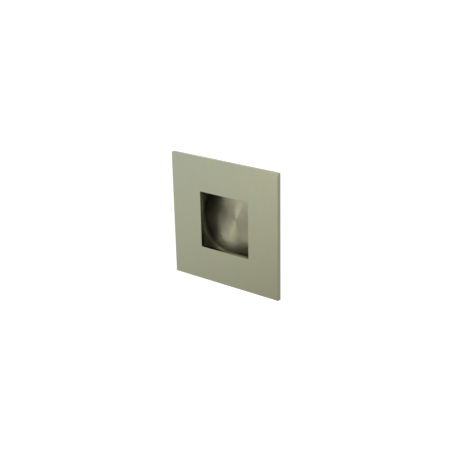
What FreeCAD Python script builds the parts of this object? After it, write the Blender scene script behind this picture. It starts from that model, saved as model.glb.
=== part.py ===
import FreeCAD, Part
import math
import os
import Sketcher
from FreeCAD import Placement, Rotation, Vector

# Square pocket door pull with a hidden fixing, in millimetres.
# +X runs across the plate, +Y into the door, +Z up, and the plate's face looks along -Y.
# The origin is on the cup's axis, in the plane of the door's face.

# Driving sizes: cell name, value and meaning. Each can be changed by itself.
SIZES = [
    ("aperture_side", 40.8, "side of the square opening for the fingers"),
    ("aperture_corner", 0.5, "inside radius at the opening's corners"),
    ("face_border", 24.6, "width of the face on each side of the opening"),
    ("face_skin", 1.1, "metal left in front of the rebate"),
    ("edge_break", 0.2, "chamfer on the face's sharp edges"),
    ("boss_wall", 1.0, "metal between the opening's corners and the boss's edge"),
    ("boss_clearance", 0.15, "gap all round between the boss and the cup's mouth"),
    ("rebate_clearance", 0.35, "gap all round between the flange and its rebate"),
    ("sheet_thickness", 1.5, "gauge of the cup's sheet"),
    ("bend_radius", 0.5, "radius on the door's side of the bend from flange to wall"),
    ("recess_depth", 13.0, "from the face to the floor of the cup"),
    ("floor_round", 3.0, "inside radius between the cup's wall and floor"),
    ("tape_thickness", 0.4, "mounting ring between the flange and the plate"),
    ("tape_inset", 0.3, "the ring keeps this far inside the flat of the flange"),
    ("screw_count", 4, "screws, evenly spaced from the first diagonal"),
    ("head_diameter", 5.6, "countersunk head"),
    ("head_edge", 0.7, "flat of the flange left on each side of a head"),
    ("head_sink", 0.1, "the head lies this far below the flange"),
    ("head_gap", 0.05, "gap between the head's cone and its seat, across the axis"),
    ("shank_diameter", 3.0, "over the thread"),
    ("shank_gap", 0.1, "gap between the shank and its hole"),
    ("screw_length", 16.0, "from the top of the head to the tip"),
    ("tip_length", 3.2, "pointed end"),
    ("drive_span", 2.8, "across the wings of the cross recess"),
    ("drive_slot", 0.8, "width of a wing"),
    ("drive_depth", 1.3, "depth of the cross recess"),
    ("drive_taper", 8.0, "slope of the cross recess's walls, in degrees"),
]

# The foot's inside round takes at most this share of the wall's straight height.
FOOT_SHARE = 0.8

# Sizes that follow from the driving ones: cell name and formula.
WORKED = [
    ("plate_side", "Sizes.aperture_side + 2 * Sizes.face_border"),
    ("rebate_depth", "Sizes.sheet_thickness + Sizes.tape_thickness"),
    ("plate_thickness", "Sizes.face_skin + rebate_depth"),
    ("boss_radius", "Sizes.aperture_side / sqrt(2) + Sizes.boss_wall"),
    ("mouth_radius", "boss_radius + Sizes.boss_clearance"),
    ("mouth_round", "Sizes.sheet_thickness + Sizes.bend_radius"),
    ("wall_radius", "mouth_radius + Sizes.sheet_thickness"),
    ("flat_radius", "mouth_radius + mouth_round"),
    ("head_radius", "Sizes.head_diameter / 2"),
    ("screw_circle", "flat_radius + Sizes.head_edge + head_radius"),
    ("flange_radius", "screw_circle + head_radius + Sizes.head_edge"),
    ("rebate_radius", "flange_radius + Sizes.rebate_clearance"),
    ("cup_depth", "Sizes.recess_depth - plate_thickness"),
    ("cup_reach", "cup_depth + Sizes.sheet_thickness"),
    ("floor_inside", f"min(Sizes.floor_round; {FOOT_SHARE} * (cup_depth - Sizes.bend_radius))"),
    ("floor_outside", "floor_inside + Sizes.sheet_thickness"),
    ("tape_inner", "flat_radius + Sizes.tape_inset"),
    ("tape_outer", "flange_radius - Sizes.tape_inset"),
    ("seat_diameter", "Sizes.head_diameter + 2 * (Sizes.head_sink + Sizes.head_gap)"),
    ("hole_diameter", "Sizes.shank_diameter + 2 * Sizes.shank_gap"),
    ("shank_radius", "Sizes.shank_diameter / 2"),
    ("head_height", "head_radius - shank_radius"),
    ("tip_start", "Sizes.screw_length - Sizes.tip_length"),
]

HEAD_ANGLE = 90
FIRST_SCREW_ANGLE = 45
DRIVE_TURN = 35
FULL_TURN = 360
NEAR = 1e-6

# How a sketch numbers its own axes, and the points of a line or circle.
# Its origin is the start of the level axis.
LEVEL_AXIS, UPRIGHT_AXIS = range(-1, -3, -1)
ORIGIN = LEVEL_AXIS
START, END, CENTRE = range(1, 4)


def make_sheets(doc):
    """The driving sizes and the sizes worked out from them, each in a sheet of its own."""
    sizes = doc.addObject("Spreadsheet::Sheet", "Sizes")
    for row, (name, number, meaning) in enumerate(SIZES, start=1):
        sizes.set(f"A{row}", meaning)
        sizes.set(f"B{row}", str(number))
        sizes.setAlias(f"B{row}", name)
    worked = doc.addObject("Spreadsheet::Sheet", "Worked")
    for row, (name, formula) in enumerate(WORKED, start=1):
        worked.set(f"B{row}", f"={formula}")
        worked.setAlias(f"B{row}", name)
        doc.recompute()
    return sizes, worked


def new_body(doc, label):
    body = doc.addObject("PartDesign::Body", label)
    body.Label = label
    return body


def new_sketch(body, name, plane, offset=None):
    """A sketch on one of the body's own origin planes, moved out along its normal by a formula."""
    sketch = body.newObject("Sketcher::SketchObject", name)
    support = next(item for item in body.Origin.OriginFeatures if item.Role == plane)
    sketch.AttachmentSupport = [(support, "")]
    sketch.MapMode = "FlatFace"
    if offset:
        sketch.setExpression("AttachmentOffset.Base.z", offset)
    return sketch


def tie(sketch, kind, items, number, name, formula):
    """Add a named size to a sketch and bind it to the sheets."""
    index = sketch.addConstraint(Sketcher.Constraint(kind, *items, number))
    sketch.renameConstraint(index, name)
    sketch.setExpression(f"Constraints.{name}", formula)


def add_outline(sketch, corners):
    """Join the corners with lines in a closed ring. Level and upright lines stay so."""
    first = sketch.GeometryCount
    count = len(corners)
    for index, (x, y) in enumerate(corners):
        next_x, next_y = corners[(index + 1) % count]
        line = sketch.addGeometry(Part.LineSegment(Vector(x, y, 0), Vector(next_x, next_y, 0)))
        if y == next_y:
            sketch.addConstraint(Sketcher.Constraint("Horizontal", line))
        elif x == next_x:
            sketch.addConstraint(Sketcher.Constraint("Vertical", line))
    for index in range(count):
        following = first + (index + 1) % count
        sketch.addConstraint(Sketcher.Constraint("Coincident", first + index, END, following, START))
    return first


def tie_across(sketch, line, number, name, formula):
    """Hold a line's start at a distance to the right of the sketch's origin."""
    tie(sketch, "DistanceX", (ORIGIN, START, line, START), number, name, formula)


def tie_up(sketch, line, number, name, formula):
    """Hold a line's start at a distance above the sketch's origin."""
    tie(sketch, "DistanceY", (ORIGIN, START, line, START), number, name, formula)


def tie_down(sketch, line, number, name, formula):
    """Hold a line's start at a distance below the sketch's origin."""
    tie(sketch, "DistanceY", (line, START, ORIGIN, START), number, name, formula)


def add_rectangle(sketch, width, height, across, upward):
    """A rectangle centred on the sketch's origin, its two sides bound to formulas."""
    x, y = width / 2, height / 2
    first = add_outline(sketch, [(-x, -y), (x, -y), (x, y), (-x, y)])
    sketch.addConstraint(Sketcher.Constraint("Symmetric", first, START, first + 2, START, ORIGIN, START))
    tie(sketch, "DistanceX", (first, START, first, END), width, "width", across)
    tie(sketch, "DistanceY", (first + 1, START, first + 1, END), height, "height", upward)


def add_circle(sketch, radius, name, formula):
    """A circle centred on the sketch's origin."""
    circle = sketch.addGeometry(Part.Circle(Vector(0, 0, 0), Vector(0, 0, 1), radius))
    sketch.addConstraint(Sketcher.Constraint("Coincident", circle, CENTRE, ORIGIN, START))
    tie(sketch, "Radius", (circle,), radius, name, formula)
    return circle


def add_feature(body, kind, name, sketch):
    feature = body.newObject(kind, name)
    feature.Profile = sketch
    sketch.Visibility = False
    return feature


def edge_names(shape, wanted):
    return [f"Edge{index}" for index, edge in enumerate(shape.Edges, start=1) if wanted(edge)]


def round_edges(body, doc, name, radius, depth, formula):
    """Fillet the round edge of one radius at one depth along the cup's axis."""
    doc.recompute()
    base = body.Tip

    def wanted(edge):
        curve = edge.Curve
        if curve.TypeId != "Part::GeomCircle":
            return False
        centred = math.hypot(curve.Center.x, curve.Center.z) < NEAR
        return centred and abs(curve.Radius - radius) < NEAR and abs(curve.Center.y - depth) < NEAR

    fillet = body.newObject("PartDesign::Fillet", name)
    fillet.Base = (base, edge_names(base.Shape, wanted))
    fillet.setExpression("Radius", formula)


def make_face_plate(doc, sizes, worked):
    """Square plate with a square opening. A ring is cut out of its back for the cup's flange."""
    body = new_body(doc, "face_plate")
    outline = new_sketch(body, "PlateOutline", "XZ_Plane")
    side = worked.plate_side
    add_rectangle(outline, side, side, "Worked.plate_side", "Worked.plate_side")
    plate = add_feature(body, "PartDesign::Pad", "Plate", outline)
    plate.setExpression("Length", "Worked.plate_thickness")

    opening = new_sketch(body, "Opening", "XZ_Plane")
    side = sizes.aperture_side
    add_rectangle(opening, side, side, "Sizes.aperture_side", "Sizes.aperture_side")
    aperture = add_feature(body, "PartDesign::Pocket", "Aperture", opening)
    aperture.Type = "ThroughAll"
    aperture.Reversed = True
    doc.recompute()

    half = side / 2
    corners = body.newObject("PartDesign::Fillet", "ApertureCorners")

    def at_corner(edge):
        centre = edge.CenterOfMass
        return abs(abs(centre.x) - half) < NEAR and abs(abs(centre.z) - half) < NEAR

    corners.Base = (aperture, edge_names(aperture.Shape, at_corner))
    corners.setExpression("Radius", "Sizes.aperture_corner")

    ring = new_sketch(body, "RebateRing", "XZ_Plane")
    add_circle(ring, worked.rebate_radius, "rebate_radius", "Worked.rebate_radius")
    add_circle(ring, worked.boss_radius, "boss_radius", "Worked.boss_radius")
    rebate = add_feature(body, "PartDesign::Pocket", "Rebate", ring)
    rebate.setExpression("Length", "Worked.rebate_depth")
    rebate.Reversed = True
    doc.recompute()

    def on_face(edge):
        return edge.BoundBox.YMax < -worked.plate_thickness + NEAR

    chamfer = body.newObject("PartDesign::Chamfer", "EdgeBreak")
    chamfer.Base = (rebate, edge_names(rebate.Shape, on_face))
    chamfer.setExpression("Size", "Sizes.edge_break")
    doc.recompute()
    return body


def make_finger_cup(doc, sizes, worked):
    """Cup spun from one sheet: flange, bend, straight wall, rounded foot and flat floor."""
    body = new_body(doc, "finger_cup")
    mouth, wall, rim = worked.mouth_radius, worked.wall_radius, worked.flange_radius
    floor, reach, gauge = worked.cup_depth, worked.cup_reach, sizes.sheet_thickness
    profile = new_sketch(body, "CupProfile", "XY_Plane")
    inside = [(0, floor), (mouth, floor), (mouth, -gauge), (rim, -gauge)]
    outside = [(rim, 0), (wall, 0), (wall, reach), (0, reach)]
    add_outline(profile, inside + outside)
    profile.addConstraint(Sketcher.Constraint("PointOnObject", 0, START, UPRIGHT_AXIS))
    profile.addConstraint(Sketcher.Constraint("PointOnObject", 4, START, LEVEL_AXIS))
    tie_up(profile, 0, floor, "cup_depth", "Worked.cup_depth")
    tie_up(profile, 6, reach, "cup_reach", "Worked.cup_reach")
    tie_down(profile, 2, gauge, "sheet_thickness", "Sizes.sheet_thickness")
    tie_across(profile, 1, mouth, "mouth_radius", "Worked.mouth_radius")
    tie_across(profile, 5, wall, "wall_radius", "Worked.wall_radius")
    tie_across(profile, 3, rim, "flange_radius", "Worked.flange_radius")
    spun = add_feature(body, "PartDesign::Revolution", "Spun", profile)
    spun.ReferenceAxis = (profile, ["V_Axis"])
    spun.Angle = FULL_TURN

    round_edges(body, doc, "MouthOutside", mouth, -gauge, "Worked.mouth_round")
    round_edges(body, doc, "MouthInside", wall, 0, "Sizes.bend_radius")
    round_edges(body, doc, "FootInside", mouth, floor, "Worked.floor_inside")
    round_edges(body, doc, "FootOutside", wall, reach, "Worked.floor_outside")
    doc.recompute()

    seat = new_sketch(body, "ScrewSeat", "XZ_Plane", "Sizes.sheet_thickness")
    turn = math.radians(FIRST_SCREW_ANGLE)
    offset = worked.screw_circle * math.cos(turn)
    height = worked.screw_circle * math.sin(turn)
    bore = worked.hole_diameter
    circle = seat.addGeometry(Part.Circle(Vector(offset, height, 0), Vector(0, 0, 1), bore / 2))
    tie(seat, "Diameter", (circle,), bore, "hole_diameter", "Worked.hole_diameter")
    across = f"Worked.screw_circle * cos({FIRST_SCREW_ANGLE} deg)"
    upward = f"Worked.screw_circle * sin({FIRST_SCREW_ANGLE} deg)"
    tie(seat, "DistanceX", (ORIGIN, START, circle, CENTRE), offset, "seat_across", across)
    tie(seat, "DistanceY", (ORIGIN, START, circle, CENTRE), height, "seat_up", upward)
    doc.recompute()
    hole = add_feature(body, "PartDesign::Hole", "ScrewHole", seat)
    doc.recompute()
    hole.DepthType = "ThroughAll"
    hole.HoleCutType = "Countersink"
    hole.HoleCutCountersinkAngle = HEAD_ANGLE
    hole.setExpression("Diameter", "Worked.hole_diameter")
    hole.setExpression("HoleCutDiameter", "Worked.seat_diameter")
    doc.recompute()

    holes = body.newObject("PartDesign::PolarPattern", "ScrewHoles")
    holes.Originals = [hole]
    holes.Axis = (seat, ["N_Axis"])
    holes.Angle = FULL_TURN
    holes.setExpression("Occurrences", "Sizes.screw_count")
    body.Tip = holes
    doc.recompute()
    return body


def make_bond_ring(doc, worked):
    """Flat ring of double-sided mounting tape on the front of the flange, over the screws."""
    body = new_body(doc, "bond_ring")
    ring = new_sketch(body, "TapeRing", "XZ_Plane", "Sizes.sheet_thickness")
    add_circle(ring, worked.tape_outer, "tape_outer", "Worked.tape_outer")
    add_circle(ring, worked.tape_inner, "tape_inner", "Worked.tape_inner")
    tape = add_feature(body, "PartDesign::Pad", "Tape", ring)
    tape.setExpression("Length", "Sizes.tape_thickness")
    doc.recompute()
    return body


def make_screw(doc, sizes, worked, number):
    """Countersunk wood screw with a cross recess, sunk in the flange and reaching into the door."""
    body = new_body(doc, f"fixing_screw_{number}")
    head, shank = worked.head_radius, worked.shank_radius
    neck, tip, length = worked.head_height, worked.tip_start, sizes.screw_length
    profile = new_sketch(body, f"ScrewProfile{number}", "XY_Plane")
    add_outline(profile, [(0, 0), (head, 0), (shank, neck), (shank, tip), (0, length)])
    profile.addConstraint(Sketcher.Constraint("Coincident", 0, START, ORIGIN, START))
    tie_across(profile, 1, head, "head_radius", "Worked.head_radius")
    tie_across(profile, 2, shank, "shank_radius", "Worked.shank_radius")
    tie_up(profile, 2, neck, "head_height", "Worked.head_height")
    tie_up(profile, 3, tip, "tip_start", "Worked.tip_start")
    tie_up(profile, 4, length, "screw_length", "Sizes.screw_length")
    turned = add_feature(body, "PartDesign::Revolution", f"Turned{number}", profile)
    turned.ReferenceAxis = (profile, ["V_Axis"])
    turned.Angle = FULL_TURN
    doc.recompute()

    span, slot = sizes.drive_span, sizes.drive_slot
    for name, width, height, across, upward in [
        ("Level", span, slot, "Sizes.drive_span", "Sizes.drive_slot"),
        ("Upright", slot, span, "Sizes.drive_slot", "Sizes.drive_span"),
    ]:
        wing = new_sketch(body, f"{name}Wing{number}", "XZ_Plane")
        add_rectangle(wing, width, height, across, upward)
        recess = add_feature(body, "PartDesign::Pocket", f"{name}Recess{number}", wing)
        recess.setExpression("Length", "Sizes.drive_depth")
        recess.setExpression("TaperAngle", "-Sizes.drive_taper")
        doc.recompute()

    angle = f"({FIRST_SCREW_ANGLE} + {number - 1} * {FULL_TURN} / Sizes.screw_count) * 1 deg"
    body.Placement = Placement(Vector(0, 0, 0), Rotation(Vector(0, 1, 0), DRIVE_TURN * number))
    body.setExpression("Placement.Base.x", f"Worked.screw_circle * cos({angle})")
    body.setExpression("Placement.Base.y", "Sizes.head_sink - Sizes.sheet_thickness")
    body.setExpression("Placement.Base.z", f"Worked.screw_circle * sin({angle})")
    doc.recompute()
    return body


def check(doc, bodies):
    """Stop if any object failed to build or any piece isn't one sound solid."""
    for item in doc.Objects:
        if {"Invalid", "Error"} & set(item.State):
            raise RuntimeError(f"{item.Label} failed: {item.State}")
    for body in bodies:
        shape = body.Shape
        if shape.isNull() or not shape.isValid() or len(shape.Solids) != 1:
            raise RuntimeError(f"{body.Label} isn't one valid solid")


def main():
    doc = FreeCAD.newDocument("PocketDoorPull")
    sizes, worked = make_sheets(doc)
    bodies = [
        make_face_plate(doc, sizes, worked),
        make_finger_cup(doc, sizes, worked),
        make_bond_ring(doc, worked),
    ]
    for number in range(1, int(sizes.screw_count) + 1):
        bodies.append(make_screw(doc, sizes, worked, number))
    doc.recompute()
    check(doc, bodies)
    os.makedirs("parts", exist_ok=True)
    for body in bodies:
        body.Shape.exportStep(f"parts/{body.Label}.step")
        print(f"{body.Label}: {body.Shape.Volume:.1f} mm3")


main()
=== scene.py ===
import math

import bmesh
import bpy
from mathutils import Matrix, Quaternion, Vector


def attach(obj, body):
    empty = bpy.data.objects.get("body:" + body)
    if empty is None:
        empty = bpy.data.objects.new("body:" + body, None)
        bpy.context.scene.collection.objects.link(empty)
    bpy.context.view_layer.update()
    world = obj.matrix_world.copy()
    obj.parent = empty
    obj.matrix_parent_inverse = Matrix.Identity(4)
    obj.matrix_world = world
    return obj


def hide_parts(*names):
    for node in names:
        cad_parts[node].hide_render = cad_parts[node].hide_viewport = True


# Square pocket door pull: satin plate, spun cup, mounting ring and four countersunk screws.
# The frame is the CAD model's: +X across the plate, +Y into the door, +Z up, in metres.

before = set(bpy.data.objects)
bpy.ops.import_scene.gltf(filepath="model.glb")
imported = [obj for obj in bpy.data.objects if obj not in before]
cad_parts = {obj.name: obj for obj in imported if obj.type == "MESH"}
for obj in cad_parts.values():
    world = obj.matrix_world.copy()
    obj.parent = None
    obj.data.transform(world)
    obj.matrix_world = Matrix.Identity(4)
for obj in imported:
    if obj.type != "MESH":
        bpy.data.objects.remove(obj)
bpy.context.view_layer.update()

MM = 0.001
TOUCH = 0.001 * MM

PLATE_HALF = 45.0 * MM
PLATE_FRONT = -3.0 * MM
OPENING_HALF = 20.4 * MM
OPENING_CORNER = 0.5 * MM
REBATE_RADIUS = 39.35 * MM
REBATE_FLOOR = -1.9 * MM
BOSS_RADIUS = 29.85 * MM
EDGE_BREAK = 0.2 * MM

FLANGE_RADIUS = 39.0 * MM
FLANGE_FRONT = -1.5 * MM
MOUTH_RADIUS = 30.0 * MM
WALL_RADIUS = 31.5 * MM
FLOOR_INSIDE = 10.0 * MM
FLOOR_OUTSIDE = 11.5 * MM
MOUTH_ROUND = 2.0 * MM
BEND_ROUND = 0.5 * MM
FOOT_INSIDE = 3.0 * MM
FOOT_OUTSIDE = 4.5 * MM
RIM_ROUND = 0.15 * MM
POLE_RADIUS = 0.8 * MM

TAPE_INNER = 32.3 * MM
TAPE_OUTER = 38.7 * MM
TAPE_SKIN = 0.06 * MM
FOAM_INSET = 0.12 * MM

SCREW_SPREAD = 25.102 * MM
SCREW_TOP = -1.4 * MM
SCREW_TURN = math.radians(35)
SCREW_CORNERS = [(1, 1), (-1, 1), (-1, -1), (1, -1)]
HEAD_RADIUS = 2.8 * MM
HEAD_HEIGHT = 1.3 * MM
HEAD_MIDDLE = 0.3 * MM
HEAD_BREAK = 0.08 * MM
HEAD_RIM = 0.14 * MM
NECK_RADIUS = 1.32 * MM
NECK_SWELL = 0.12 * MM
NECK_START = 0.25 * MM
NECK_RUN_OUT = 0.4 * MM
CORE_RADIUS = 1.12 * MM
CREST_RADIUS = 1.5 * MM
TIP_START = 12.8 * MM
TIP_LENGTH = 3.2 * MM
TIP_TAPER = -0.93
TIP_FLAT = 0.05 * MM
TIP_SHARE = 0.8
THREAD_PITCH = 1.35 * MM
THREAD_START = 2.9 * MM
THREAD_TURNS = 9
THREAD_SINK = 0.1 * MM
THREAD_CREST = 0.05 * MM
HOLE_RADIUS = 1.6 * MM
SEAT_RADIUS = 2.95 * MM
CUT_MARGIN = 0.5 * MM
CUT_DEPTH = 1.0 * MM
DRIVE_SPAN = 2.8 * MM
DRIVE_SLOT = 0.8 * MM
DRIVE_DEPTH = 1.3 * MM
DRIVE_TAPER = 0.62

RING_STEPS = 256
CORNER_STEPS = 5
EDGE_STEPS = 3
FOOT_STEPS = 14
MOUTH_STEPS = 10
BEND_STEPS = 6
SCREW_STEPS = 48
THREAD_STEPS = 32

# Angles in degrees: edges sharper than these are broken, or kept sharp when the rest is smoothed.
BREAK_ANGLE = 50
PLATE_CREASE = 35
CUP_CREASE = 30
SCREW_CREASE = 35

# Finishes: two tones each, patterns in waves per metre, and how far a pattern moves what it feeds.
NOISE_MEAN = 0.5
MIDDLE = 0.5
PLATE_COOL = (0.356, 0.374, 0.277, 1.0)
PLATE_WARM = (0.376, 0.373, 0.248, 1.0)
PLATE_DRIFT = 6.0
PLATE_CLOUDS = 70
PLATE_PATCHES = 190
PLATE_GRAIN = (9000, 9000, 260)
PLATE_SLOPE = 0.10
PLATE_ROUGHNESS = 0.245
PLATE_CLOUD_TONE = 1.2
PLATE_CLOUD_ROUGHNESS = 0.05
GRAIN_TONE = 0.05
PATCH_TONE = 0.06
PATCH_ROUGHNESS = 0.03
CUP_DARK = (0.362, 0.358, 0.240, 1.0)
CUP_PALE = (0.399, 0.386, 0.274, 1.0)
CUP_CLOUDS = 120
CUP_HAIR = 24000
CUP_FEED = 1800
CUP_SLOPE = 2.6
FEED_SLOPE = 0.04
CUP_ROUGHNESS = 0.19
CUP_CLOUD_TONE = 1.4
CUP_CLOUD_ROUGHNESS = 0.06
HAIR_TONE = 0.08
FEED_TONE = 0.07
FEED_ROUGHNESS = 0.03
ZINC_DARK = (0.50, 0.51, 0.50, 1.0)
ZINC_PALE = (0.60, 0.59, 0.55, 1.0)
ZINC_CLOUDS = 900
ZINC_SPECKS = 6000
ZINC_ROUGHNESS = 0.28
ZINC_CLOUD_TONE = 1.6
ZINC_CLOUD_ROUGHNESS = 0.2
SPECK_TONE = 0.15
SPECK_BUMP = 0.15
SPECK_HEIGHT = 0.02 * MM
FOAM_DARK = (0.07, 0.07, 0.07, 1.0)
FOAM_PALE = (0.13, 0.13, 0.13, 1.0)
FOAM_CELLS = 7000
FOAM_CLOUDS = 250
FOAM_ROUGHNESS = 0.82
FOAM_CLOUD_TONE = 0.3
FOAM_CLOUD_ROUGHNESS = 0.2
CELL_TONE = 0.8
CELL_BUMP = 0.5
CELL_HEIGHT = 0.05 * MM
PAPER_DARK = (0.84, 0.84, 0.84, 1.0)
PAPER_PALE = (0.87, 0.87, 0.87, 1.0)
PAPER_FIBRES = 400
PAPER_ROUGHNESS = 0.9
PAPER_SHINE = 0.1
PAPER_GLOW = 0.45

# The studio as metal shows it: levels where 1 is white, and edges as a part of a direction.
ROOM_LEVEL = 0.22
ROOM_EDGE = -0.35
BACKDROP_EDGE = 0.15
BACKDROP_FOOT = 0.62
FOOT_EDGE = -0.5
# Soft lights: azimuth and elevation in degrees, spread in degrees and brightness.
# The last is a dark flag, which takes the room's light away.
SOFT_LIGHTS = [
    (-43, -20, 8.2, 0.69), (-25, -12, 6.4, 1.86), (-28, 7, 8.4, 2.31), (-26, 24, 9.0, 0.99),
    (-14, 37, 6.5, 2.57), (-37, 47, 7.5, 1.13), (-60, -10, 10.0, 0.79), (-76, -2, 13.6, 1.13),
    (-60, 24, 10.0, 0.23), (1, 0, 10.0, 0.30), (26, -11, 9.2, 0.62), (22, 27, 19.0, -0.20),
]
FLOOR_SIZE = 8.0
FLOOR_HEIGHT = -280 * MM

# The camera: angles in degrees, and where it looks.
CAMERA_AZIMUTH = 38.375
CAMERA_ELEVATION = 21.102
CAMERA_ROLL = -1.336
CAMERA_DISTANCE = 640.02 * MM
CAMERA_TARGET = (1.711 * MM, -3.0 * MM, -0.213 * MM)
CAMERA_LENS = 74.617
CAMERA_SENSOR = 36.0


def on_ring(radius, depth):
    """True for a place on a ring about the cup's axis."""
    return lambda place: (
        abs(math.hypot(place.x, place.z) - radius) < TOUCH and abs(place.y - depth) < TOUCH
    )


def on_square(half, depth, corner=0.0):
    """True for a place on the edge of a square about the cup's axis, its corners rounded or not."""
    def wanted(place):
        reach = max(abs(place.x), abs(place.z))
        near = half - corner * (1 - math.sqrt(0.5)) - TOUCH
        return abs(place.y - depth) < TOUCH and near <= reach <= half + TOUCH
    return wanted


def select(kind, wanted):
    """In edit mode, select only the vertices, edges or faces with every corner in a wanted place."""
    bpy.ops.mesh.select_mode(type=kind)
    bpy.ops.mesh.select_all(action="DESELECT")
    data = bpy.context.object.data
    shape = bmesh.from_edit_mesh(data)
    if kind == "VERT":
        chosen = [corner for corner in shape.verts if wanted(corner.co)]
    else:
        items = shape.edges if kind == "EDGE" else shape.faces
        chosen = [item for item in items if all(wanted(corner.co) for corner in item.verts)]
    for item in chosen:
        item.select_set(True)
    shape.select_flush_mode()
    bmesh.update_edit_mesh(data)


def begin(name):
    """Settle the primitive just added where it lies, name it and open it in edit mode."""
    bpy.ops.object.transform_apply(location=True, rotation=True, scale=True)
    piece = bpy.context.object
    piece.name = name
    piece.data.name = name
    bpy.ops.object.mode_set(mode="EDIT")
    return piece


def draw_out(radius, depth, next_radius, next_depth):
    """Extrude the selected ring to the next ring of a turned shape."""
    bpy.ops.mesh.extrude_region_move(TRANSFORM_OT_translate={"value": (0, next_depth - depth, 0)})
    growth = next_radius / radius
    bpy.ops.transform.resize(value=(growth, 1, growth), center_override=(0, 0, 0))


def turn(name, outline, steps, closed):
    """Turn a piece about the Y axis through (radius, depth) points. It stays in edit mode.

    A closed outline is joined end to end, and an open one gets a face over each end."""
    bpy.ops.object.select_all(action="DESELECT")
    radius, depth = outline[0]
    bpy.ops.mesh.primitive_circle_add(
        vertices=steps, radius=radius, location=(0, depth, 0), rotation=(math.pi / 2, 0, 0)
    )
    piece = begin(name)
    bpy.ops.mesh.select_all(action="SELECT")
    for next_radius, next_depth in outline[1:]:
        draw_out(radius, depth, next_radius, next_depth)
        radius, depth = next_radius, next_depth
    if closed:
        first, last = on_ring(*outline[0]), on_ring(*outline[-1])
        select("EDGE", lambda place: first(place) or last(place))
        bpy.ops.mesh.bridge_edge_loops()
    else:
        for end in (outline[0], outline[-1]):
            select("EDGE", on_ring(*end))
            bpy.ops.mesh.edge_face_add()
            bpy.ops.mesh.poke()
    return piece


def round_ring(radius, depth, size, segments):
    """Round the sharp ring at one radius and depth."""
    select("EDGE", on_ring(radius, depth))
    bpy.ops.mesh.bevel(offset=size, segments=segments, profile=0.5, clamp_overlap=False)


def turn_faces_out():
    bpy.ops.mesh.select_all(action="SELECT")
    bpy.ops.mesh.remove_doubles(threshold=TOUCH)
    bpy.ops.mesh.normals_make_consistent(inside=False)


def apply_modifier(piece, kind, **settings):
    """Add a modifier to a piece, set it and apply it."""
    bpy.context.view_layer.objects.active = piece
    modifier = piece.modifiers.new(kind.title(), kind)
    for key, choice in settings.items():
        setattr(modifier, key, choice)
    bpy.ops.object.modifier_apply(modifier=modifier.name)


def cut(piece, cutter):
    """Cut one piece with another, which is then thrown away."""
    apply_modifier(piece, "BOOLEAN", operation="DIFFERENCE", solver="EXACT", object=cutter)
    bpy.data.objects.remove(cutter)


def join(piece, other):
    """Make the second piece's mesh part of the first one."""
    bpy.ops.object.select_all(action="DESELECT")
    other.select_set(True)
    piece.select_set(True)
    bpy.context.view_layer.objects.active = piece
    bpy.ops.object.join()


def finish_surface(piece, crease):
    """Smooth the rounded parts and keep the flat ones flat right up to their edges."""
    bpy.ops.object.select_all(action="DESELECT")
    piece.select_set(True)
    bpy.context.view_layer.objects.active = piece
    bpy.ops.object.shade_smooth_by_angle(angle=math.radians(crease))
    apply_modifier(piece, "WEIGHTED_NORMAL", mode="FACE_AREA", weight=100, keep_sharp=True)


def add_square(half, depth, corner):
    """In edit mode, add a square ring about the cup's axis, each side in many short steps."""
    bpy.ops.mesh.select_all(action="DESELECT")
    bpy.ops.mesh.primitive_circle_add(
        vertices=4, radius=half * math.sqrt(2), location=(0, depth, 0), rotation=(math.pi / 2, 0, 0)
    )
    bpy.ops.transform.rotate(value=math.pi / 4, orient_axis="Y", center_override=(0, 0, 0))
    steps = RING_STEPS // 4 - (CORNER_STEPS if corner else 0)
    bpy.ops.mesh.subdivide(number_cuts=steps - 1)
    if corner:
        select("VERT", on_ring(half * math.sqrt(2), depth))
        bpy.ops.mesh.bevel(
            offset=corner, segments=CORNER_STEPS, affect="VERTICES", clamp_overlap=False
        )


def add_ring(radius, depth):
    """In edit mode, add a ring about the cup's axis."""
    bpy.ops.mesh.select_all(action="DESELECT")
    bpy.ops.mesh.primitive_circle_add(
        vertices=RING_STEPS, radius=radius, location=(0, depth, 0), rotation=(math.pi / 2, 0, 0)
    )


def make_plate():
    """Square plate: loops laid from the front round to the back, joined by walls and flats."""
    loops = [
        ("square", PLATE_HALF, PLATE_FRONT, 0.0),
        ("square", PLATE_HALF, 0.0, 0.0),
        ("ring", REBATE_RADIUS, 0.0, 0.0),
        ("ring", REBATE_RADIUS, REBATE_FLOOR, 0.0),
        ("ring", BOSS_RADIUS, REBATE_FLOOR, 0.0),
        ("ring", BOSS_RADIUS, 0.0, 0.0),
        ("square", OPENING_HALF, 0.0, OPENING_CORNER),
        ("square", OPENING_HALF, PLATE_FRONT, OPENING_CORNER),
    ]
    bpy.ops.object.select_all(action="DESELECT")
    bpy.ops.mesh.primitive_circle_add(vertices=4, radius=PLATE_HALF)
    plate = begin("satin_plate")
    bpy.ops.mesh.select_all(action="SELECT")
    bpy.ops.mesh.delete(type="VERT")
    places = []
    for form, size, depth, corner in loops:
        if form == "square":
            add_square(size, depth, corner)
            places.append(on_square(size, depth, corner))
        else:
            add_ring(size, depth)
            places.append(on_ring(size, depth))
    for index, near in enumerate(places):
        far = places[(index + 1) % len(places)]
        select("EDGE", lambda place: near(place) or far(place))
        if loops[index][2] == loops[(index + 1) % len(loops)][2]:
            bpy.ops.mesh.fill(use_beauty=True)
        else:
            bpy.ops.mesh.bridge_edge_loops()
    turn_faces_out()
    bpy.ops.object.mode_set(mode="OBJECT")
    apply_modifier(
        plate, "BEVEL", width=EDGE_BREAK, segments=EDGE_STEPS, limit_method="ANGLE",
        angle_limit=math.radians(BREAK_ANGLE), use_clamp_overlap=False,
    )
    finish_surface(plate, PLATE_CREASE)
    return plate


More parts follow.
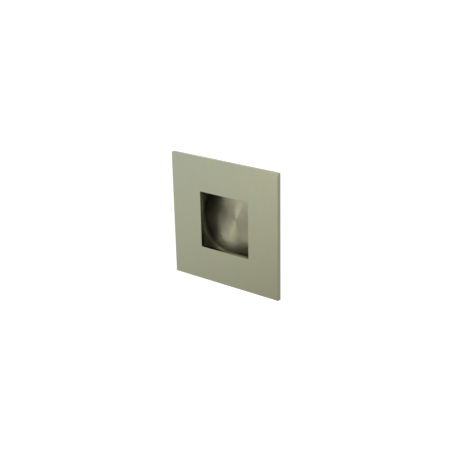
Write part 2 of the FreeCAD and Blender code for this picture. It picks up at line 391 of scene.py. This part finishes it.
def make_seat_cutter():
    """Countersunk hole for one screw, as a solid to cut with."""
    cutter = turn(
        "seat_cutter",
        [
            (SEAT_RADIUS + CUT_MARGIN, FLANGE_FRONT - CUT_MARGIN),
            (HOLE_RADIUS, FLANGE_FRONT + SEAT_RADIUS - HOLE_RADIUS),
            (HOLE_RADIUS, CUT_DEPTH),
        ],
        SCREW_STEPS, False,
    )
    turn_faces_out()
    bpy.ops.object.mode_set(mode="OBJECT")
    return cutter


def make_cup():
    """Cup spun from sheet: floor, rounded foot, wall, bent mouth and a flange with four seats."""
    cup = turn(
        "spun_cup",
        [
            (POLE_RADIUS, FLOOR_INSIDE),
            (MOUTH_RADIUS, FLOOR_INSIDE),
            (MOUTH_RADIUS, FLANGE_FRONT),
            (FLANGE_RADIUS, FLANGE_FRONT),
            (FLANGE_RADIUS, 0.0),
            (WALL_RADIUS, 0.0),
            (WALL_RADIUS, FLOOR_OUTSIDE),
            (POLE_RADIUS, FLOOR_OUTSIDE),
        ],
        RING_STEPS, False,
    )
    round_ring(MOUTH_RADIUS, FLOOR_INSIDE, FOOT_INSIDE, FOOT_STEPS)
    round_ring(MOUTH_RADIUS, FLANGE_FRONT, MOUTH_ROUND, MOUTH_STEPS)
    round_ring(FLANGE_RADIUS, FLANGE_FRONT, RIM_ROUND, EDGE_STEPS)
    round_ring(FLANGE_RADIUS, 0.0, RIM_ROUND, EDGE_STEPS)
    round_ring(WALL_RADIUS, 0.0, BEND_ROUND, BEND_STEPS)
    round_ring(WALL_RADIUS, FLOOR_OUTSIDE, FOOT_OUTSIDE, FOOT_STEPS)
    turn_faces_out()
    bpy.ops.object.mode_set(mode="OBJECT")
    pattern = make_seat_cutter()
    for across, upward in SCREW_CORNERS:
        cutter = pattern.copy()
        cutter.data = pattern.data.copy()
        bpy.context.collection.objects.link(cutter)
        cutter.location = (across * SCREW_SPREAD, 0, upward * SCREW_SPREAD)
        bpy.context.view_layer.update()
        cut(cup, cutter)
    bpy.data.objects.remove(pattern)
    finish_surface(cup, CUP_CREASE)
    return cup


def make_tape_ring():
    """Die-cut foam ring with a film of adhesive on each side. The foam's edge stands back a little."""
    back, front = FLANGE_FRONT, REBATE_FLOOR
    outer = [
        (TAPE_OUTER, back - TAPE_SKIN), (TAPE_OUTER - FOAM_INSET, back - 2 * TAPE_SKIN),
        (TAPE_OUTER - FOAM_INSET, front + 2 * TAPE_SKIN), (TAPE_OUTER, front + TAPE_SKIN),
    ]
    inner = [(TAPE_INNER + TAPE_OUTER - radius, depth) for radius, depth in reversed(outer)]
    outline = [(TAPE_INNER, back), (TAPE_OUTER, back)]
    outline += outer
    outline += [(TAPE_OUTER, front), (TAPE_INNER, front)]
    outline += inner
    ring = turn("tape_ring", outline, RING_STEPS, True)
    turn_faces_out()
    bpy.ops.object.mode_set(mode="OBJECT")
    finish_surface(ring, CUP_CREASE)
    return ring


def make_drive_cutter():
    """Cross recess as a solid: a bar with four wings, narrower at its deep end."""
    bpy.ops.object.select_all(action="DESELECT")
    bpy.ops.mesh.primitive_cube_add(size=DRIVE_SLOT, location=(0, -TIP_START, 0))
    bpy.context.object.scale = (1, 2 * DRIVE_DEPTH / DRIVE_SLOT, 1)
    cutter = begin("drive_cutter")
    half = DRIVE_SLOT / 2
    for side in (-1, 1):
        for turned in (False, True):
            axis = 2 if turned else 0
            select("FACE", lambda place: abs(place[axis] - side * half) < TOUCH)
            reach = side * (DRIVE_SPAN - DRIVE_SLOT) / 2
            move = (0, 0, reach) if turned else (reach, 0, 0)
            bpy.ops.mesh.extrude_region_move(TRANSFORM_OT_translate={"value": move})
    deep = DRIVE_DEPTH - TIP_START
    select("VERT", lambda place: abs(place.y - deep) < TOUCH)
    bpy.ops.transform.resize(value=(DRIVE_TAPER, 1, DRIVE_TAPER), center_override=(0, deep, 0))
    turn_faces_out()
    bpy.ops.object.mode_set(mode="OBJECT")
    return cutter


def make_thread():
    """Ridge of the thread, wound about the core from just under the head to the tip."""
    bpy.ops.object.select_all(action="DESELECT")
    middle = (CORE_RADIUS + CREST_RADIUS) / 2
    start = THREAD_START - TIP_START
    bpy.ops.mesh.primitive_plane_add(
        size=CREST_RADIUS - CORE_RADIUS + THREAD_SINK, location=(middle, start, 0)
    )
    thread = begin("screw_thread")
    select("VERT", lambda place: place.x > middle)
    crest = THREAD_CREST / (CREST_RADIUS - CORE_RADIUS)
    bpy.ops.transform.resize(value=(1, crest, 1), center_override=(0, start, 0))
    bpy.ops.transform.translate(value=(-THREAD_SINK / 2, 0, 0))
    bpy.ops.mesh.select_mode(type="EDGE")
    bpy.ops.mesh.select_all(action="SELECT")
    bpy.ops.mesh.delete(type="ONLY_FACE")
    bpy.ops.object.mode_set(mode="OBJECT")
    apply_modifier(
        thread, "SCREW", axis="Y", angle=2 * math.pi, screw_offset=THREAD_PITCH,
        iterations=THREAD_TURNS, steps=THREAD_STEPS, render_steps=THREAD_STEPS,
    )
    bpy.ops.object.mode_set(mode="EDIT")
    bpy.ops.mesh.select_all(action="SELECT")
    bpy.ops.mesh.fill_holes(sides=4)
    turn_faces_out()
    bpy.ops.object.mode_set(mode="OBJECT")
    return thread


def make_screw():
    """Countersunk wood screw along +Y, with the start of its pointed end at the origin."""
    head = -TIP_START
    screw = turn(
        "wood_screw",
        [
            (HEAD_MIDDLE, head),
            (HEAD_RADIUS - HEAD_BREAK, head),
            (HEAD_RADIUS, head + HEAD_BREAK),
            (HEAD_RADIUS, head + HEAD_RIM),
            (NECK_RADIUS + NECK_SWELL, head + HEAD_HEIGHT),
            (NECK_RADIUS, head + HEAD_HEIGHT + NECK_START),
            (NECK_RADIUS, head + THREAD_START - NECK_RUN_OUT),
            (CORE_RADIUS, head + THREAD_START),
            (CORE_RADIUS, 0.0),
            (CORE_RADIUS, TIP_LENGTH - TIP_FLAT),
            (TIP_SHARE * CORE_RADIUS, TIP_LENGTH),
        ],
        SCREW_STEPS, False,
    )
    turn_faces_out()
    bpy.ops.object.mode_set(mode="OBJECT")
    cut(screw, make_drive_cutter())
    join(screw, make_thread())
    low = min(corner.co.y for corner in screw.data.vertices)
    high = max(corner.co.y for corner in screw.data.vertices)
    apply_modifier(
        screw, "SIMPLE_DEFORM", deform_method="TAPER", deform_axis="Y", factor=TIP_TAPER,
        limits=(-low / (high - low), 1.0),
    )
    finish_surface(screw, SCREW_CREASE)
    return screw


def place_screw(pattern, number, across, upward):
    """A copy of the screw with its own mesh, in one seat of the flange, turned as it was driven."""
    screw = pattern.copy()
    screw.data = pattern.data.copy()
    screw.name = f"wood_screw_{number}"
    screw.data.name = screw.name
    bpy.context.collection.objects.link(screw)
    bpy.ops.object.select_all(action="DESELECT")
    screw.select_set(True)
    bpy.context.view_layer.objects.active = screw
    screw.location = (across * SCREW_SPREAD, SCREW_TOP + TIP_START, upward * SCREW_SPREAD)
    screw.rotation_euler = (0, SCREW_TURN * number, 0)
    bpy.ops.object.transform_apply(location=True, rotation=True, scale=True)
    return screw


class Signal:
    """A shader socket that arithmetic works on: each operation adds its Math node."""

    def __init__(self, tree, socket):
        self.tree = tree
        self.socket = socket

    def math(self, operation, *terms):
        node = self.tree.nodes.new("ShaderNodeMath")
        node.operation = operation
        for slot, term in zip(node.inputs, terms):
            if isinstance(term, Signal):
                self.tree.links.new(term.socket, slot)
            else:
                slot.default_value = term
        return Signal(self.tree, node.outputs[0])

    def sway(self, amount):
        """A noise's swing about its mean, times an amount."""
        return (self - NOISE_MEAN) * amount

    def __add__(self, other):
        return self.math("ADD", self, other)

    def __sub__(self, other):
        return self.math("SUBTRACT", self, other)

    def __rsub__(self, other):
        return self.math("SUBTRACT", other, self)

    def __mul__(self, other):
        return self.math("MULTIPLY", self, other)

    __radd__ = __add__
    __rmul__ = __mul__


class Finish:
    """A material or world under construction."""

    def __init__(self, owner):
        owner.use_nodes = True
        self.owner = owner
        self.tree = owner.node_tree
        self.tree.nodes.clear()

    def node(self, kind, settings=None, inputs=None, output=0):
        """Add a node, set it, then fill its sockets with values or links."""
        node = self.tree.nodes.new(kind)
        for key, choice in (settings or {}).items():
            setattr(node, key, choice)
        for key, term in (inputs or {}).items():
            if isinstance(term, Signal):
                self.tree.links.new(term.socket, node.inputs[key])
            else:
                node.inputs[key].default_value = term
        return Signal(self.tree, node.outputs[output]) if node.outputs else node

    def noise(self, place, scale, detail=2.0, roughness=0.5, dimensions="3D"):
        """Noise between 0 and 1 about 0.5, read at a place or at a number."""
        entry = "W" if dimensions == "1D" else "Vector"
        return self.node(
            "ShaderNodeTexNoise", {"noise_dimensions": dimensions},
            {entry: place, "Scale": scale, "Detail": detail, "Roughness": roughness},
        )

    def blend(self, factor, first, second):
        """Mix two colours."""
        return self.node(
            "ShaderNodeMix", {"data_type": "RGBA"}, {0: factor, 6: first, 7: second}, output=2
        )

    def vector(self, operation, first, second=None, output=0):
        """A Vector Math node; a scale's number goes to its own socket."""
        inputs = {0: first}
        if second is not None:
            inputs[3 if operation == "SCALE" else 1] = second
        return self.node("ShaderNodeVectorMath", {"operation": operation}, inputs, output)

    def ramp(self, value, start, end, low, high):
        """A smooth change from a low to a high level between two values."""
        return self.node(
            "ShaderNodeMapRange", {"interpolation_type": "SMOOTHSTEP"},
            {"Value": value, "From Min": start, "From Max": end, "To Min": low, "To Max": high},
        )

    def bump(self, height, strength, distance):
        """A normal from a height, which works over a distance in metres."""
        return self.node(
            "ShaderNodeBump", None, {"Strength": strength, "Distance": distance, "Height": height}
        )

    def surface(self, sockets):
        shader = self.node("ShaderNodeBsdfPrincipled", None, sockets)
        self.node("ShaderNodeOutputMaterial", None, {"Surface": shader})


def object_place(finish):
    return finish.node("ShaderNodeTexCoord", output=3)


def tilt(finish, direction, slope, normal):
    """The surface's normal, tipped along a direction by a slope."""
    tipped = finish.vector("ADD", normal, finish.vector("SCALE", direction, slope))
    return finish.vector("NORMALIZE", tipped)


def plate_finish():
    """Fine satin sheet: straight grain, rubbed patches, and a tone that warms towards one corner."""
    finish = Finish(bpy.data.materials.new("satin_steel"))
    place = object_place(finish)
    clouds = finish.noise(place, PLATE_CLOUDS, 3.0, 0.55)
    patches = finish.noise(place, PLATE_PATCHES, 2.0, 0.5)
    grain_place = finish.node("ShaderNodeMapping", None, {0: place, 3: PLATE_GRAIN})
    grain = finish.noise(grain_place, 1.0, 2.0, 0.6)
    drift = finish.vector("DOT_PRODUCT", place, (PLATE_DRIFT, 0.0, -PLATE_DRIFT), output=1)
    tone = finish.blend(drift + clouds.sway(PLATE_CLOUD_TONE) + MIDDLE, PLATE_COOL, PLATE_WARM)
    streak = grain.sway(GRAIN_TONE) + patches.sway(PATCH_TONE) + 1.0
    base = finish.vector("SCALE", tone, streak)
    normal = finish.node("ShaderNodeNewGeometry", output=1)
    across = finish.node("ShaderNodeCombineXYZ", None, {0: 1.0, 1: 0.0, 2: 0.0})
    brushed = tilt(finish, across, grain.sway(PLATE_SLOPE), normal)
    finish.surface({
        "Base Color": base,
        "Metallic": 1.0,
        "Roughness": (
            PLATE_ROUGHNESS + clouds.sway(PLATE_CLOUD_ROUGHNESS) + patches.sway(PATCH_ROUGHNESS)
        ),
        "Normal": brushed,
    })
    return finish.owner


def cup_finish():
    """Spun sheet: rings about the cup's axis, from hair-fine to as wide as a turning tool's feed."""
    finish = Finish(bpy.data.materials.new("spun_steel"))
    place = object_place(finish)
    flat = finish.vector("MULTIPLY", place, (1.0, 0.0, 1.0))
    radius = finish.vector("LENGTH", flat, output=1)
    depth = finish.node("ShaderNodeSeparateXYZ", None, {0: place}, output=1)
    outward = finish.vector("NORMALIZE", flat)
    along = radius + depth
    hair = finish.noise(along, CUP_HAIR, 1.0, 0.5, "1D")
    feed = finish.noise(along, CUP_FEED, 2.0, 0.5, "1D")
    clouds = finish.noise(place, CUP_CLOUDS, 2.0, 0.5)
    slope = hair.sway(CUP_SLOPE) + feed.sway(FEED_SLOPE)
    normal = finish.node("ShaderNodeNewGeometry", output=1)
    axis = finish.node("ShaderNodeCombineXYZ", None, {0: 0.0, 1: 1.0, 2: 0.0})
    upright = finish.vector("DOT_PRODUCT", normal, outward, output=1)
    facing = finish.vector("DOT_PRODUCT", normal, axis, output=1)
    run = finish.vector(
        "SUBTRACT", finish.vector("SCALE", outward, facing), finish.vector("SCALE", axis, upright)
    )
    tone = finish.blend(clouds.sway(CUP_CLOUD_TONE) + MIDDLE, CUP_DARK, CUP_PALE)
    base = finish.vector("SCALE", tone, hair.sway(HAIR_TONE) + feed.sway(FEED_TONE) + 1.0)
    finish.surface({
        "Base Color": base,
        "Metallic": 1.0,
        "Roughness": (
            CUP_ROUGHNESS + clouds.sway(CUP_CLOUD_ROUGHNESS) + feed.sway(FEED_ROUGHNESS)
        ),
        "Normal": tilt(finish, run, slope, normal),
    })
    return finish.owner


def screw_finish():
    """Bright zinc plating, a little cloudy, with fine specks."""
    finish = Finish(bpy.data.materials.new("zinc_plating"))
    place = object_place(finish)
    clouds = finish.noise(place, ZINC_CLOUDS, 3.0, 0.6)
    specks = finish.noise(place, ZINC_SPECKS, 2.0, 0.5)
    tone = finish.blend(clouds.sway(ZINC_CLOUD_TONE) + MIDDLE, ZINC_DARK, ZINC_PALE)
    finish.surface({
        "Base Color": finish.vector("SCALE", tone, specks.sway(SPECK_TONE) + 1.0),
        "Metallic": 1.0,
        "Roughness": ZINC_ROUGHNESS + clouds.sway(ZINC_CLOUD_ROUGHNESS),
        "Normal": finish.bump(specks, SPECK_BUMP, SPECK_HEIGHT),
    })
    return finish.owner


def tape_finish():
    """Closed-cell foam tape: fine cells, matt, nearly black."""
    finish = Finish(bpy.data.materials.new("foam_tape"))
    place = object_place(finish)
    cells = finish.node(
        "ShaderNodeTexVoronoi", {"feature": "F1"}, {"Vector": place, "Scale": FOAM_CELLS}
    )
    clouds = finish.noise(place, FOAM_CLOUDS, 2.0, 0.5)
    finish.surface({
        "Base Color": finish.blend(
            cells * CELL_TONE + clouds * FOAM_CLOUD_TONE, FOAM_DARK, FOAM_PALE
        ),
        "Roughness": FOAM_ROUGHNESS + clouds.sway(FOAM_CLOUD_ROUGHNESS),
        "Normal": finish.bump(cells, CELL_BUMP, CELL_HEIGHT),
    })
    return finish.owner


def heading(azimuth, elevation):
    """Unit direction: azimuth in degrees from -Y towards +X, elevation in degrees above level."""
    azimuth, elevation = math.radians(azimuth), math.radians(elevation)
    level = math.cos(elevation)
    return Vector((math.sin(azimuth) * level, -math.cos(azimuth) * level, math.sin(elevation)))


def seen_rays(finish):
    """1 for a ray from the camera or through glass, which shows the background, and 0 for others."""
    rays = [finish.node("ShaderNodeLightPath", output=index) for index in (0, 6)]
    return rays[0].math("MAXIMUM", *rays)


def floor_finish():
    """Pale matt paper, lit up to white where it is seen. A shadow on it stays."""
    finish = Finish(bpy.data.materials.new("studio_paper"))
    fibres = finish.noise(object_place(finish), PAPER_FIBRES, 3.0, 0.6)
    glow = seen_rays(finish) * PAPER_GLOW
    finish.surface({
        "Base Color": finish.blend(fibres, PAPER_DARK, PAPER_PALE),
        "Roughness": PAPER_ROUGHNESS,
        "Specular IOR Level": PAPER_SHINE,
        "Emission Color": finish.node("ShaderNodeCombineColor", None, {0: glow, 1: glow, 2: glow}),
        "Emission Strength": 1.0,
    })
    return finish.owner


def light_world():
    """Pale studio. Metal shows the white behind it, the dim room in front and the soft lights."""
    finish = Finish(bpy.data.worlds.new("studio"))
    seen = seen_rays(finish)
    towards = finish.vector("NORMALIZE", finish.node("ShaderNodeTexCoord"))
    behind, above = [
        finish.node("ShaderNodeSeparateXYZ", None, {0: towards}, output=axis) for axis in (1, 2)
    ]
    backdrop = finish.ramp(above, FOOT_EDGE, 0.0, BACKDROP_FOOT, 1.0)
    room = finish.ramp(behind, ROOM_EDGE, BACKDROP_EDGE, ROOM_LEVEL, backdrop)
    for azimuth, elevation, spread, brightness in SOFT_LIGHTS:
        facing = finish.vector("DOT_PRODUCT", towards, heading(azimuth, elevation), output=1)
        tightness = 1 / math.radians(spread) ** 2
        fall = (facing - 1.0) * tightness
        room = room + fall.math("EXPONENT", fall) * brightness
    level = seen + (1.0 - seen) * room
    light = finish.node(
        "ShaderNodeBackground", None, {"Color": (1.0, 1.0, 1.0, 1.0), "Strength": level}
    )
    finish.node("ShaderNodeOutputWorld", None, {"Surface": light})
    bpy.context.scene.world = finish.owner


def add_camera():
    """The photograph's point of view."""
    back = heading(CAMERA_AZIMUTH, CAMERA_ELEVATION)
    roll = Quaternion((0, 0, 1), math.radians(CAMERA_ROLL))
    bpy.ops.object.camera_add(location=Vector(CAMERA_TARGET) + back * CAMERA_DISTANCE)
    camera = bpy.context.object
    camera.rotation_mode = "QUATERNION"
    camera.rotation_quaternion = (-back).to_track_quat("-Z", "Y") @ roll
    camera.data.sensor_width = CAMERA_SENSOR
    camera.data.lens = CAMERA_LENS
    bpy.context.scene.camera = camera


def dress(piece, node, material):
    """Give a piece its finish and its place in the frame."""
    piece.data.materials.clear()
    piece.data.materials.append(material)
    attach(piece, "root")
    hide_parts(node)


dress(make_plate(), "face_plate", plate_finish())
dress(make_cup(), "finger_cup", cup_finish())
dress(make_tape_ring(), "bond_ring", tape_finish())
screw_pattern = make_screw()
zinc = screw_finish()
for screw_number, (side, height) in enumerate(SCREW_CORNERS, start=1):
    wood_screw = place_screw(screw_pattern, screw_number, side, height)
    dress(wood_screw, f"fixing_screw_{screw_number}", zinc)
bpy.data.objects.remove(screw_pattern)

bpy.ops.object.select_all(action="DESELECT")
bpy.ops.mesh.primitive_plane_add(size=FLOOR_SIZE, location=(0, 0, FLOOR_HEIGHT))
floor = bpy.context.object
floor.name = "studio_floor"
floor.data.materials.append(floor_finish())
floor.visible_glossy = False

light_world()
add_camera()
bpy.context.scene.view_settings.view_transform = "Standard"
